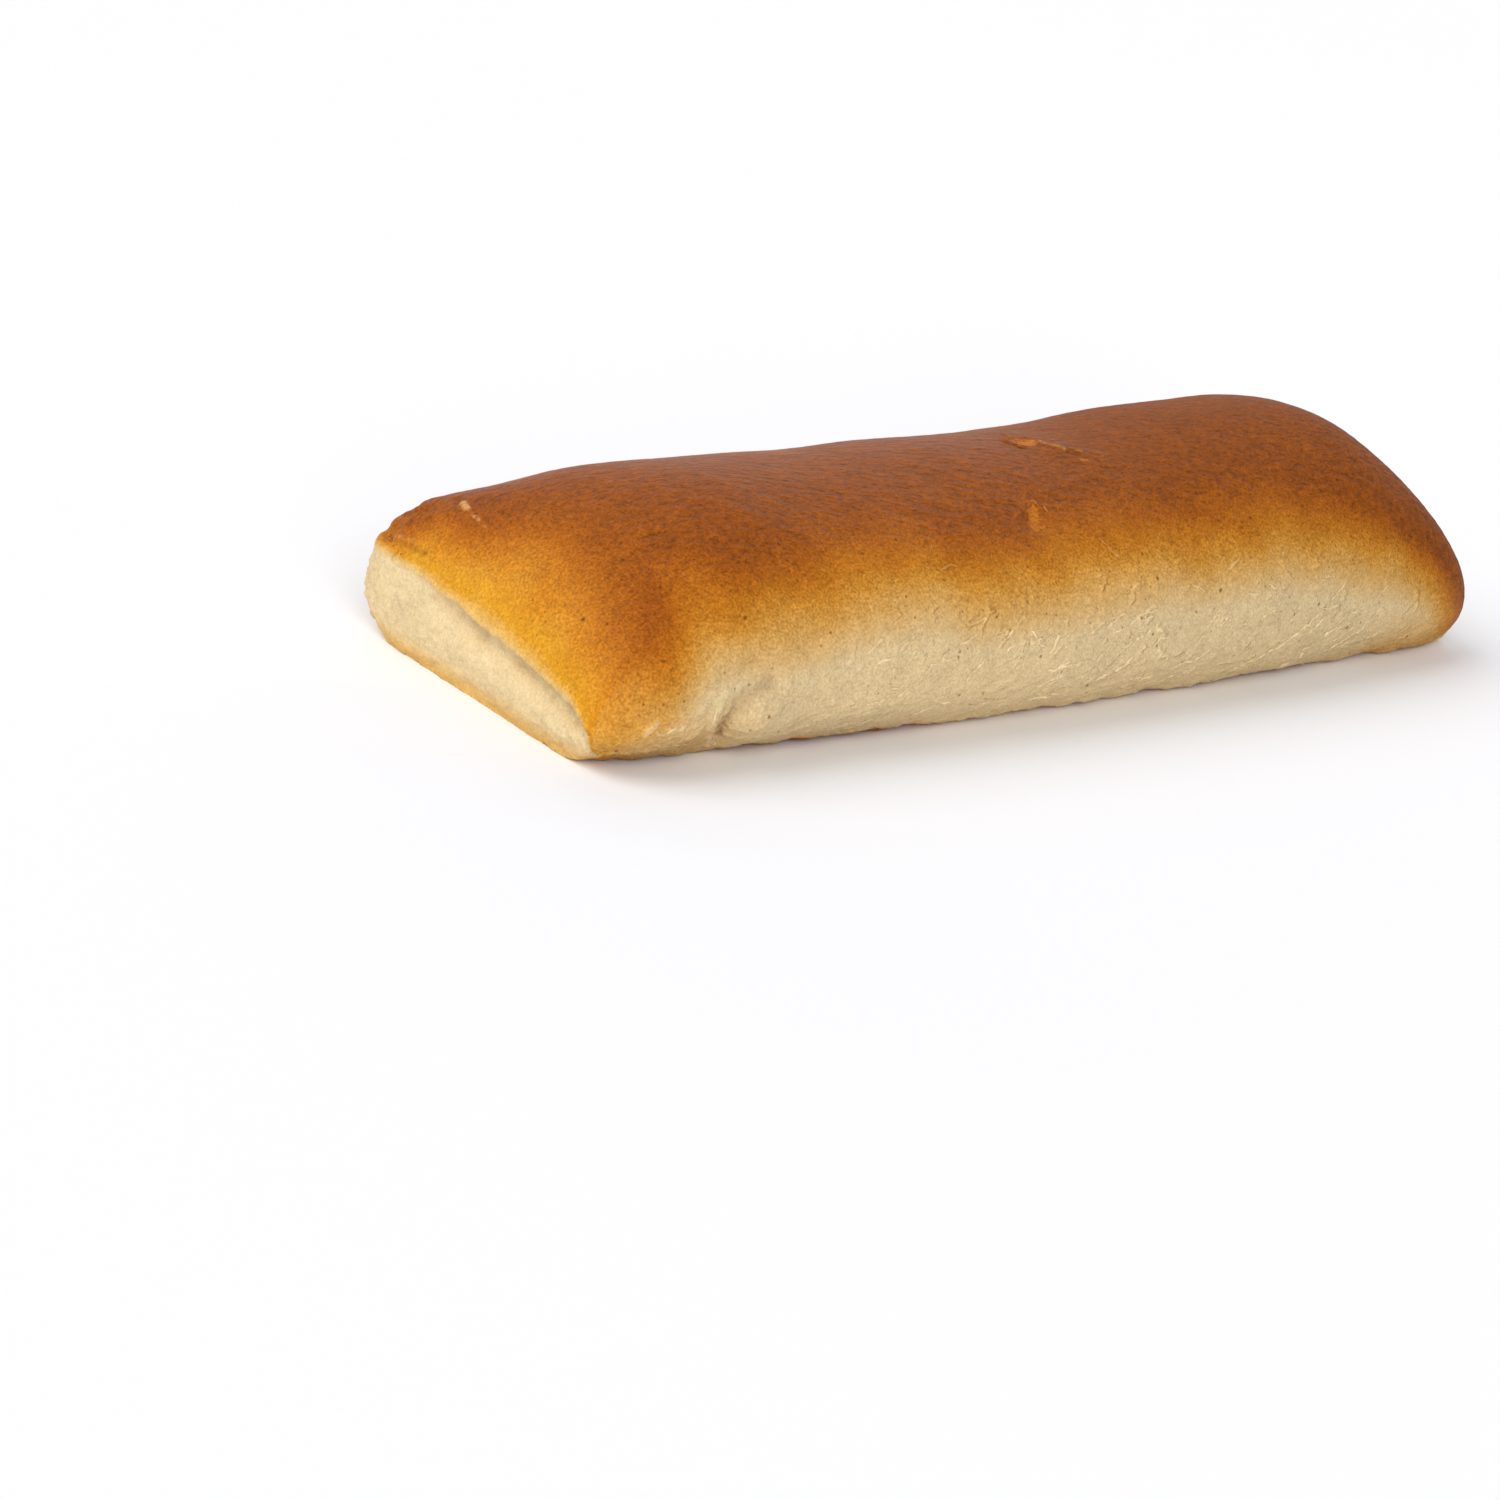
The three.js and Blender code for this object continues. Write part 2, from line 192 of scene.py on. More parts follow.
# Marks on the crust, as the side, width, height, tint, tint's share and path, in millimetres. A side mark is
# given by places along and up the -Y side, a top mark by places along and across the crown, an end mark by
# places across and up the near end. The height raises or sinks the crust. The tint bare shows the orange
# under-skin, the dark tint is painted shade in the sunken cracks and creases, and pale shows the lighter
# edge of torn skin
MARKS = [
    ("top", 1.5, -0.35, "bare", 1.0, [(4.7, 0.8), (6.6, 0.2)]),
    ("top", 0.5, 0.2, "pale", 0.7, [(6.9, -0.1), (7.7, -1.7), (8.5, -3.2)]),
    ("top", 0.55, -0.4, "dark", 0.55, [(2.3, 1.8), (2.6, 0.5), (3.0, -0.8)]),
    ("top", 0.5, -0.35, "dark", 0.6, [(8.7, -3.7), (9.0, -4.4), (9.7, -5.0)]),
    ("top", 0.5, 0.0, "bare", 0.7, [(9.2, -6.0), (9.5, -6.6)]),
    ("top", 1.0, -0.25, "bare", 1.0, [(-6.1, -13.4), (-7.3, -14.6), (-8.3, -15.6)]),
    ("top", 0.35, -0.25, "dark", 0.5, [(-4.5, -13.5), (-5.5, -14.9)]),
    ("top", 0.35, -0.25, "dark", 0.5, [(-8.5, -14.0), (-9.8, -15.3)]),
    ("top", 0.5, -0.3, "dark", 0.5, [(-74.9, 18.2), (-75.6, 16.8)]),
    ("top", 0.42, 0.25, "pale", 0.75, [(-75.6, 16.0), (-76.4, 14.3)]),
    ("top", 0.32, 0.15, "pale", 0.4, [(-76.7, 12.8), (-76.4, 12.0), (-76.9, 11.2)]),
    ("top", 0.3, 0.1, "pale", 0.35, [(-76.9, 10.4), (-77.1, 9.6)]),
    ("top", 0.35, -0.2, "dark", 0.45, [(-76.0, 11.0), (-76.4, 10.1)]),
    ("top", 0.5, -0.3, "dark", 0.6, [(-80.6, 22.9), (-80.8, 21.8)]),
    ("end", 0.4, 0.3, "pale", 0.3, [(22.3, 12.9), (21.0, 13.5), (19.5, 13.9), (17.7, 14.3)]),
    ("end", 0.35, -0.35, "dark", 0.5, [(19.0, 13.3), (17.2, 13.6), (15.2, 13.7)]),
    ("end", 0.35, -0.25, "dark", 0.4, [(18.9, 12.3), (20.1, 10.9)]),
    ("side", 1.1, -0.9, "dark", 0.22, [(-58.4, 11.4), (-60.1, 10.7), (-61.6, 9.9), (-62.9, 8.9)]),
    ("side", 0.55, -0.6, "dark", 0.45, [(-63.6, 7.8), (-63.9, 6.6), (-63.5, 5.2), (-62.7, 3.9)]),
    # A raised ridge beside the fold: its relief is real, and its pale tint is partly a painted highlight
    ("side", 0.9, 0.6, "pale", 0.35, [(-65.4, 10.6), (-66.4, 9.2), (-66.6, 7.6), (-66.2, 6.2)]),
    ("side", 0.5, 0.3, "pale", 0.45, [(-63.6, 3.9), (-62.4, 2.2)]),
    ("side", 0.5, 0.25, "pale", 0.5, [(-76.4, 6.4), (-75.5, 7.8)]),
    ("side", 0.5, 0.25, "pale", 0.4, [(-75.0, 6.5), (-74.0, 6.2), (-73.0, 6.6), (-71.4, 6.7)]),
    ("side", 0.7, 0.25, "pale", 0.2, [(-69.8, 4.4), (-68.2, 6.2)]),
    ("side", 0.5, 0.2, "pale", 0.25, [(-78.6, 2.8), (-74.0, 3.4), (-70.5, 3.2)]),
]
MARK_SPACING = 0.25 * MM
MARK_STRAY = {"size": 1.6 * MM, "reach": 1.6 * MM}
MARK_TINTS = ("bare", "dark", "pale")

# Thin wisps of lifted skin: the side that each kind lies on, how pale it is, and each wisp's width and path,
# given as the marks are. They lie on the pale side, high on it where it browns, on the crown and at the foot
# of the near end
WISPS = [
    ("side", 0.8, [
        (0.5, [(-21.0, 12.0), (-19.0, 12.8), (-18.0, 13.0)]),
        (0.5, [(-16.0, 14.0), (-13.0, 12.0)]),
        (0.5, [(-9.5, 13.5), (-11.0, 12.4), (-12.5, 11.0)]),
        (0.45, [(-7.0, 12.9), (-4.0, 13.1)]),
        (0.5, [(-13.0, 8.7), (-9.5, 9.2), (-6.5, 9.6)]),
        (0.45, [(-10.5, 7.4), (-9.0, 8.4)]),
        (0.5, [(-3.0, 6.0), (1.0, 7.2), (4.0, 9.4)]),
        (0.5, [(-13.0, 3.9), (-9.0, 4.3), (-6.0, 4.2)]),
        (0.5, [(-31.5, 4.9), (-29.0, 5.5), (-27.0, 5.8)]),
        (0.5, [(-33.5, 11.2), (-31.0, 11.8), (-29.0, 12.1)]),
        (0.55, [(-26.5, 8.6), (-25.5, 10.0), (-24.0, 11.4)]),
        (0.4, [(-0.5, 12.7), (2.5, 13.2), (5.0, 14.2)]),
        (0.4, [(3.0, 11.2), (7.0, 12.4)]),
        (0.4, [(-42.5, 12.1), (-39.5, 12.6)]),
        (0.55, [(13.0, 6.6), (17.0, 7.3), (19.5, 8.4)]),
        (0.45, [(26.5, 3.0), (30.0, 5.1), (32.5, 6.9), (35.5, 8.3), (39.0, 10.1)]),
        (0.75, [(43.0, 7.3), (46.0, 8.9)]),
        (0.8, [(39.5, 1.1), (41.5, 2.4), (42.2, 3.7), (41.8, 5.1)]),
    ]),
    ("side", 0.4, [
        (0.4, [(-22.5, 14.2), (-20.0, 14.2)]),
        (0.3, [(2.5, 14.1), (5.0, 14.3), (9.0, 14.9)]),
        (0.3, [(-35.5, 16.7), (-34.0, 16.4)]),
        (0.35, [(21.5, 18.0), (23.0, 18.5), (25.5, 19.9)]),
        (0.3, [(41.0, 16.1), (43.5, 16.0)]),
        (0.3, [(14.5, 17.3), (17.5, 16.1)]),
        (0.3, [(29.5, 16.2), (32.0, 15.5)]),
        (0.3, [(47.0, 13.6), (50.0, 14.4)]),
        (0.3, [(25.5, 15.3), (28.0, 14.9)]),
    ]),
    ("top", 0.25, [
        (0.6, [(5.5, 5.2), (5.2, 3.8), (4.2, 1.5), (3.4, -0.8)]),
        (0.55, [(9.9, -3.2), (10.3, -4.2), (11.0, -5.0)]),
        (0.5, [(6.8, 0.2), (7.6, -1.4), (8.2, -2.8), (9.0, -3.9)]),
        (0.6, [(9.8, 0.4), (10.3, -0.2)]),
        (0.45, [(-6.9, -12.9), (-5.3, -12.1), (-4.9, -13.0)]),
        (0.5, [(-4.1, -13.1), (-4.5, -14.1)]),
        (0.4, [(-7.4, -15.8), (-7.0, -16.9)]),
        (0.35, [(0.4, -18.1), (2.0, -20.1), (3.0, -21.4), (4.0, -22.3)]),
        (0.3, [(-27.0, -15.6), (-28.5, -17.9)]),
        (0.35, [(-28.5, -20.3), (-26.5, -19.7), (-25.3, -20.2)]),
    ]),
    ("side", 0.8, [
        (0.35, [(-76.7, 6.0), (-76.3, 6.9), (-75.7, 7.1), (-75.3, 8.1)]),
        (0.4, [(-75.0, 6.5), (-74.0, 6.2), (-73.0, 6.6), (-71.4, 6.7)]),
        (0.3, [(-74.0, 4.1), (-70.5, 3.8), (-66.5, 3.1)]),
        (0.4, [(-66.4, 5.9), (-66.9, 7.6), (-66.5, 9.2)]),
        (0.4, [(-63.2, 3.9), (-61.8, 1.9)]),
    ]),
]

# Small wisps strewn over both sides, as the least and the most of each size in millimetres, and how thin and
# ragged all the wisps are made
STREWN = {
    "count": 190,
    "seed": 7,
    "along": (-44, 54),
    "up": (3.0, 14.5),
    "length": (1.2, 5.5),
    "slope": (0.2, 0.8),
    "bend": (-0.5, 0.5),
    "width": (0.25, 0.55),
    "pale": (0.1, 0.5),
}
STREWN_SIDES = ("side", "back")
WISP_STEP = 0.3 * MM
WISP_STRAY = {"size": 1.7 * MM, "reach": 1.6 * MM}
WISP_LIFT = 0.03 * MM
WISP_FLATNESS = 0.3
WISP_SIDES = 6
WISP_RADIUS = 0.5
WISP_ROUNDING = 0.6
WISP_TIP = 0.12
WISP_CRUMBS = {"size": 0.9 * MM, "ramp": (0.36, 0.66, 0.15, 1.5)}
WISP_FIELDS = ("browning", "gold")

# Colours of the bake from pale dough to the darkest crown, by share of browning, on the sides and by a lip
BAKE_COLOURS = [
    (0.00, (213, 188, 143)),
    (0.19, (209, 171, 113)),
    (0.35, (203, 155, 84)),
    (0.50, (193, 133, 49)),
    (0.65, (179, 110, 27)),
    (0.80, (161, 88, 16)),
    (0.90, (148, 77, 12)),
    (1.00, (140, 71, 13)),
]
GOLD_COLOURS = [
    (0.00, (216, 180, 108)),
    (0.25, (204, 143, 34)),
    (0.50, (190, 116, 16)),
    (0.75, (168, 91, 10)),
    (1.00, (146, 75, 10)),
]
FACE_COLOUR = (219, 196, 152)
FACE_SHADE_COLOUR = (212, 188, 143)
# Painted shade for the bare dough in the hollow under each end's lip
FACE_HOLLOW_PAINTED_SHADE_COLOUR = (196, 166, 118)
FOOT_COLOUR = (212, 168, 92)
WISP_COLOUR = (235, 213, 168)
CHIP_COLOUR = (222, 166, 102)
BARE_COLOUR = (188, 110, 26)
# Painted shade for the sunken cracks and creases of the marks
CRACK_PAINTED_SHADE_COLOUR = (104, 58, 22)
SPECK_COLOUR = (84, 48, 18)
TABLE_COLOUR = (245, 245, 248)
TABLE_CLOUD_COLOUR = (243, 243, 246)

# Layers of the skin's grain: their sizes, and each one's part in the tone, the bump and the crown's leather
GRAIN_SIZES = {"Fine": 0.32 * MM, "Streaks": 0.6 * MM, "Lumps": 1.1 * MM}
STREAK_STRETCH = (0.6, 1.0, 1.0)
CROWN_TURN = ("Z_AXIS", math.radians(25))
CREASE = {"length": 3.0 * MM, "gap": 1.0 * MM}
TONE_PARTS = {"Fine": 0.6, "Streaks": 0.3, "Lumps": 0.25}
BUMP_PARTS = {"Fine": 0.25, "Streaks": 0.4, "Lumps": 0.4}
LEATHER_PARTS = {"Streaks": 0.45, "Lumps": 0.3, "Creases": 0.5}

# Specks of browned flour, as gap, radius, share shown and depth, their spread in size and their soft edge
SPECKS = [
    (1.7 * MM, 0.28 * MM, 0.9, 0.45),
    (2.6 * MM, 0.38 * MM, 0.9, 0.6),
    (5.0 * MM, 0.44 * MM, 0.9, 0.7),
]
SPECK_SPREAD = (0.0, 1.0, 0.5, 1.0)
SPECK_EDGE = (0.0, 0.6)

# Tones of the crust. Those that end in RAMP follow the browning
BLOTCH = {"size": 8 * MM, "browning": 0.32}
GRAIN_BROWNING = -0.11
BLOTCH_RAMP = (0.0, 0.35, 0.2, 1.0)
FACE_CRUMB = {"size": 1.6 * MM, "ramp": (0.3, 0.7)}
FACE_FOOT = (0.5 * MM, 3.4 * MM, 0.9, 0.0)
PALE_RAMP = (0.3, 0.62, 1.0, 0.0)
RAGGED_EDGE = {"size": 0.7 * MM, "share": 0.9}
TORN_EDGE = (0.3, 0.6, 0.0, 0.8)
CHIP_RAMP = (0.3, 0.7)
FRAYED_EDGE = (0.1, 0.45, 0.3, 1.0)
MOTTLE = {"size": 5 * MM, "share": 0.18}
PALE_GRAIN = 0.75
FACE_GRAIN = 0.45
GRAIN_RAMP = (0.1, 0.6, PALE_GRAIN, 1.25)
LEATHER_RAMP = (0.7, 1.0)
# Painted shade towards the far end, and painted light and shade near the feet: middle, reach and tone, fading
# upwards
FAR_PAINTED_SHADE = (-25 * MM, 45 * MM, 0.0, -0.09)
FOOT_PAINTED_LIGHT_AND_SHADE = [(12 * MM, 34 * MM, 0.13), (-43 * MM, 12 * MM, -0.16), (-72 * MM, 9 * MM, -0.3)]
FOOT_FADE = (1.0 * MM, 7 * MM, 1.0, 0.0)
RIDGE_SHARE = 0.24

# Sheen and bump of the crust and of the wisps
GLOSS_LEVEL = 0.085
SATIN_RAMP = (0.2, 0.8, 0.62, 0.45)
FAR_MATT = (-5 * MM, 30 * MM, 0.0, 0.14)
GOLD_MATT = 0.08
GRAIN_MATT = 0.3
SKIN_BUMP_RAMP = (0.6, 1.0, 0.25, 0.6)
CREASE_BUMP_RAMP = (0.65, 1.0, 0.0, 0.85)
RIDGE_BUMP = 0.5
BUMP_STRENGTH = 0.7
BUMP_DISTANCE = 1.0 * MM
WISP_BROWNING = {"side": 0.85, "gold": 0.7}
WISP_PALE_RAMP = (0.1, 0.5, 1.0, 0.3)
WISP_ROUGHNESS = 0.65


def linear(colour):
    """The colour as Blender mixes it, from its 0 to 255 screen values."""
    shares = Color([value / SCREEN_WHITE for value in colour])
    return (*shares.from_srgb_to_scene_linear(), 1.0)


class TreeMaker:
    """Adds nodes to one node tree. A value is a number, a vector, or the socket of another node."""

    def __init__(self, tree):
        self.tree = tree

    def feed(self, socket, value):
        """Links a socket to another one, or sets its value."""
        if isinstance(value, bpy.types.NodeSocket):
            self.tree.links.new(value, socket)
        else:
            socket.default_value = value

    def add(self, kind, inputs=None, **settings):
        """A new node with its settings made and its inputs fed."""
        node = self.tree.nodes.new(kind)
        for name, value in settings.items():
            setattr(node, name, value)
        for key, value in (inputs or {}).items():
            self.feed(node.inputs[key], value)
        return node

    def calc(self, operation, *values, clamp=False):
        """One sum on numbers."""
        node = self.add("ShaderNodeMath", operation=operation, use_clamp=clamp)
        for socket, value in zip(node.inputs, values):
            self.feed(socket, value)
        return node.outputs[0]

    def total(self, *values):
        """All the values added up."""
        result = values[0]
        for value in values[1:]:
            result = self.calc("ADD", result, value)
        return result

    def product(self, *values):
        """All the values multiplied."""
        result = values[0]
        for value in values[1:]:
            result = self.calc("MULTIPLY", result, value)
        return result

    def weighed(self, layers, parts):
        """The named layers added up, each by its part."""
        return self.total(*[self.product(layers[name], part) for name, part in parts.items()])

    def vector(self, operation, *values):
        """One sum on vectors."""
        node = self.add("ShaderNodeVectorMath", operation=operation)
        for socket, value in zip(node.inputs, values):
            self.feed(socket, value)
        return node.outputs["Value" if operation == "DISTANCE" else "Vector"]

    def scaled(self, vector, factor):
        """The vector made longer by a factor."""
        node = self.add("ShaderNodeVectorMath", {"Vector": vector, "Scale": factor}, operation="SCALE")
        return node.outputs["Vector"]

    def split(self, vector):
        """The vector's three numbers."""
        node = self.add("ShaderNodeSeparateXYZ", {"Vector": vector})
        return node.outputs["X"], node.outputs["Y"], node.outputs["Z"]

    def step(self, value, low, high, start=0.0, end=1.0):
        """Goes smoothly from start to end as the value goes from low to high."""
        inputs = {"Value": value, "From Min": low, "From Max": high, "To Min": start, "To Max": end}
        return self.add("ShaderNodeMapRange", inputs, interpolation_type="SMOOTHSTEP").outputs["Result"]

    def noise(self, place, size, detail=ROUGH):
        """Noise from 0 to 1 whose lumps have about that size."""
        inputs = {"Vector": place, "Scale": 1 / size, "Detail": detail}
        return self.add("ShaderNodeTexNoise", inputs).outputs["Fac"]

    def swing(self, place, size, detail=ROUGH):
        """Noise from about -0.5 to 0.5."""
        return self.calc("SUBTRACT", self.noise(place, size, detail), NOISE_MIDDLE)

    def stray(self, place, size, reach, detail=ROUGH):
        """A random push of up to about half the reach, each way."""
        inputs = {"Vector": place, "Scale": 1 / size, "Detail": detail}
        push = self.add("ShaderNodeTexNoise", inputs).outputs["Color"]
        return self.scaled(self.vector("SUBTRACT", push, [NOISE_MIDDLE] * 3), reach)

    def hump(self, value, middle, reach):
        """1 where the value is in the middle, fading to 0 past the reach."""
        share = self.calc("DIVIDE", self.calc("SUBTRACT", value, middle), reach)
        return self.calc("EXPONENT", self.product(share, share, -1.0))

    def drawn_curve(self, value, points, unit):
        """The height of a smooth curve through points, all in one unit."""
        first, last = points[0][0], points[-1][0]
        top = max(height for _, height in points)
        inputs = {"Value": value, "From Min": first * unit, "From Max": last * unit}
        share = self.add("ShaderNodeMapRange", inputs).outputs["Result"]
        node = self.add("ShaderNodeFloatCurve", {"Value": share})
        curve = node.mapping.curves[0]
        for index, (place, height) in enumerate(points):
            spot = ((place - first) / (last - first), height / top)
            if 0 < index < len(points) - 1:
                curve.points.new(*spot)
            else:
                curve.points[0 if index == 0 else -1].location = spot
        node.mapping.update()
        return self.calc("MULTIPLY", node.outputs["Value"], top * unit)

    def blend(self, share, first, second):
        """Two colours mixed, all the second where the share is 1."""
        node = self.add("ShaderNodeMix", data_type="RGBA")
        sockets = [socket for socket in node.inputs if socket.type == "RGBA"]
        self.feed(node.inputs["Factor"], share)
        self.feed(sockets[0], first)
        self.feed(sockets[1], second)
        return next(socket for socket in node.outputs if socket.type == "RGBA")


def slanted(make, place, turn, length, gap):
    """Places turned about an axis and squeezed so that patterns run long that way."""
    axis, slant = turn
    inputs = {"Vector": place, "Angle": slant}
    turned = make.add("ShaderNodeVectorRotate", inputs, rotation_type=axis).outputs["Vector"]
    return make.vector("MULTIPLY", turned, (1 / length, 1 / gap, 1 / gap))


def new_tree(name, kind, inputs, outputs):
    """An empty node group whose inputs and outputs are given as names with their types."""
    tree = bpy.data.node_groups.new(name, kind)
    for way, sockets in (("INPUT", inputs), ("OUTPUT", outputs)):
        for label, socket in sockets.items():
            tree.interface.new_socket(label, in_out=way, socket_type="NodeSocket" + socket)
    start = tree.nodes.new("NodeGroupInput")
    end = tree.nodes.new("NodeGroupOutput")
    return tree, start.outputs, end.inputs


def set_inputs(modifier, values):
    """Sets a modifier's inputs, found by their sockets' identifiers."""
    for item in modifier.node_group.interface.items_tree:
        if item.item_type == "SOCKET" and item.in_out == "INPUT" and item.name in values:
            modifier[item.identifier] = values[item.name]


def finished_mesh(piece, name):
    """The piece's modifiers worked into a plain mesh."""
    depsgraph = bpy.context.evaluated_depsgraph_get()
    evaluated = piece.evaluated_get(depsgraph)
    mesh = bpy.data.meshes.new_from_object(evaluated, preserve_all_data_layers=True, depsgraph=depsgraph)
    mesh.name = name
    return mesh


def worked_piece(name, start_mesh, tree, values):
    """A new piece whose mesh a node tree works up from a start mesh."""
    work = bpy.data.objects.new(name + "_work", start_mesh)
    bpy.context.scene.collection.objects.link(work)
    modifier = work.modifiers.new(tree.name, "NODES")
    modifier.node_group = tree
    set_inputs(modifier, values)
    piece = bpy.data.objects.new(name, finished_mesh(work, name))
    bpy.context.scene.collection.objects.link(piece)
    bpy.data.objects.remove(work)
    return piece


def moved_to(make, geometry, place):
    """The geometry with its points moved to a place."""
    return make.add("GeometryNodeSetPosition", {"Geometry": geometry, "Position": place}).outputs["Geometry"]


def drawn_lines(make, lines, spacing):
    """Lines of edges as curves with evenly spaced points."""
    curve = make.add("GeometryNodeMeshToCurve", {"Mesh": lines}).outputs["Curve"]
    inputs = {"Curve": curve, "Length": spacing}
    return make.add("GeometryNodeResampleCurve", inputs, mode="LENGTH").outputs["Curve"]


def nearest_place(make, surface):
    """The nearest place on a surface."""
    inputs = {"Geometry": surface}
    return make.add("GeometryNodeProximity", inputs, target_element="FACES").outputs["Position"]


def kept_field(make, name):
    """A number that the points keep under a name."""
    inputs = {"Name": name}
    return make.add("GeometryNodeInputNamedAttribute", inputs, data_type="FLOAT").outputs["Attribute"]


def with_fields(make, geometry, fields):
    """The geometry with each field kept on its points under its name."""
    for name, value in fields.items():
        inputs = {"Geometry": geometry, "Name": name, "Value": value}
        stored = make.add("GeometryNodeStoreNamedAttribute", inputs, data_type="FLOAT", domain="POINT")
        geometry = stored.outputs["Geometry"]
    return geometry


def with_finish(make, geometry, finish):
    """The geometry shaded smooth, made real and given its finish."""
    smooth = make.add("GeometryNodeSetShadeSmooth", {"Geometry": geometry}).outputs["Geometry"]
    real = make.add("GeometryNodeRealizeInstances", {"Geometry": smooth}).outputs["Geometry"]
    return make.add("GeometryNodeSetMaterial", {"Geometry": real, "Material": finish}).outputs["Geometry"]


# The crust


def merged_solid(node):
    """A copy of a solid's mesh with its loose triangles merged and paired into quads."""
    shape = bmesh.new()
    shape.from_mesh(node.data)
    bmesh.ops.remove_doubles(shape, verts=shape.verts, dist=MERGE_GAP)
    bmesh.ops.join_triangles(
        shape, faces=shape.faces, angle_face_threshold=PAIR_ANGLE, angle_shape_threshold=PAIR_ANGLE
    )
    mesh = bpy.data.meshes.new("merged_solid")
    shape.to_mesh(mesh)
    shape.free()
    mesh.materials.clear()
    return mesh


def dropped_lines(name, strokes, surface_piece, sizes):
    """Strokes as lines dropped onto a piece's surface, with each stroke's sizes kept on its points."""
    surface = BVHTree.FromObject(surface_piece, bpy.context.evaluated_depsgraph_get())
    points = []
    edges = []
    kept = {size: [] for size in sizes}
    for stroke in strokes:
        for index, (along, other) in enumerate(stroke["path"]):
            starts = {
                "side": (Vector((along * MM, -FAR_OFF, other * MM)), Vector((0, 1, 0))),
                "back": (Vector((along * MM, FAR_OFF, other * MM)), Vector((0, -1, 0))),
                "top": (Vector((along * MM, other * MM, FAR_OFF)), Vector((0, 0, -1))),
                "end": (Vector((-FAR_OFF, along * MM, other * MM)), Vector((1, 0, 0))),
            }
            hit = surface.ray_cast(*starts[stroke["on"]])[0]
            if index > 0:
                edges.append((len(points) - 1, len(points)))
            points.append(hit)
            for size, values in kept.items():
                unit = MM if size in ("width", "height") else 1.0
                values.append(stroke.get(size, 0.0) * unit)
    mesh = bpy.data.meshes.new(name)
    mesh.from_pydata(points, edges, [])
    for size, values in kept.items():
        mesh.attributes.new("stroke_" + size, "FLOAT", "POINT").data.foreach_set("value", values)
    lines = bpy.data.objects.new(name, mesh)
    bpy.context.scene.collection.objects.link(lines)
    return lines


def lip_line(make, across, face):
    """Height of an end's lip across the roll: tilted, level at the top, and rounded down at one side."""
    tilted = make.calc("ADD", make.calc("MULTIPLY", across, face["tilt"]), face["lip"])
    level = make.calc("MINIMUM", tilted, face["top"])
    share = make.calc("DIVIDE", across, face["side"], clamp=True)
    left = make.calc("SUBTRACT", 1.0, make.calc("POWER", share, LIP_ROUNDING))
    return make.calc("MULTIPLY", level, make.calc("POWER", left, 1 / LIP_ROUNDING))


def face_fields(make, place, face):
    """An end's bare face: a place's share in it, how far the lip is, the lip's hollow, whose mask also carries
    painted shade, and the lip's relief.
    """
    along, across, up = make.split(place)
    ragged = make.product(make.swing(place, FACE_RAG["size"]), FACE_RAG["height"])
    below = make.calc("SUBTRACT", make.calc("ADD", lip_line(make, across, face), ragged), up)
    past = make.calc("MULTIPLY", make.calc("SUBTRACT", along, face["start"]), face["way"])
    at_end = make.step(past, *FACE_TURN)
    bare = make.product(make.step(below, *FACE_EDGE), at_end)
    behind = make.calc("SUBTRACT", along, face["lip_at"])
    above = make.calc("MINIMUM", below, 0.0)
    straight = make.calc("SQRT", make.total(make.product(behind, behind), make.product(above, above)))
    away = make.product(straight, make.step(across, *BACK_GOLD), make.step(across, *FRONT_GOLD))
    uneven = make.step(make.noise(place, LIP_GROOVE["patch"]), *GROOVE_SHARE)
    held = make.product(make.step(across, *GROOVE_FADE), uneven)
    hollow = make.product(make.hump(below, LIP_GROOVE["below"], LIP_GROOVE["reach"]), at_end, held)
    bead = make.product(make.hump(below, LIP_BEAD["below"], LIP_BEAD["reach"]), at_end)
    relief = make.total(make.product(hollow, LIP_GROOVE["height"]), make.product(bead, LIP_BEAD["height"]))
    return bare, away, hollow, relief


def lip_limit(make, away, face):
    """The most that the crust browns at a distance from an end's lip."""
    golden = make.step(away, 0.0, face["gold"], LIP_BROWNING, GOLD_BROWNING)
    brown = make.step(away, BROWNS_FROM * face["gold"], face["full"], 0.0, 1.0 - GOLD_BROWNING)
    return make.total(golden, brown, make.step(away, *LIP_CREAM))


def browning_field(make, place, normal, bare, limit):
    """How far the crust is baked, 0 pale to 1 darkest."""
    along, _, up = make.split(place)
    crusted = make.calc("SUBTRACT", 1.0, bare)
    stray = make.product(make.swing(place, BROWN_STRAY["size"]), BROWN_STRAY["height"])
    line = make.calc("ADD", make.drawn_curve(along, BROWN_LINE, MM), stray)
    over = make.calc("DIVIDE", make.calc("SUBTRACT", up, line), make.step(along, *BROWN_FADE))
    baked = make.calc("ADD", over, HALF_BROWN, clamp=True)
    skin = make.calc("MULTIPLY", make.calc("MINIMUM", baked, limit), crusted)
    rag = make.product(make.swing(place, RIM_LINE["size"]), RIM_LINE["rag"])
    burnt = make.product(make.hump(along, RIM_BURN["middle"], RIM_BURN["reach"]), RIM_BURN["height"])
    rim_top = make.calc("ADD", burnt, RIM_LINE["height"])
    rim = make.step(make.calc("ADD", up, rag), 0.0, rim_top, RIM_LINE["browning"], 0.0)
    tans = [make.product(make.step(along, *length), make.step(up, *height)) for length, height in FOOT_TANS]
    foot = make.product(make.total(*tans), crusted)
    down = make.step(make.split(normal)[2], *BASE_BROWNING)
    return make.calc("MAXIMUM", make.calc("MAXIMUM", make.calc("ADD", skin, foot), rim), down)


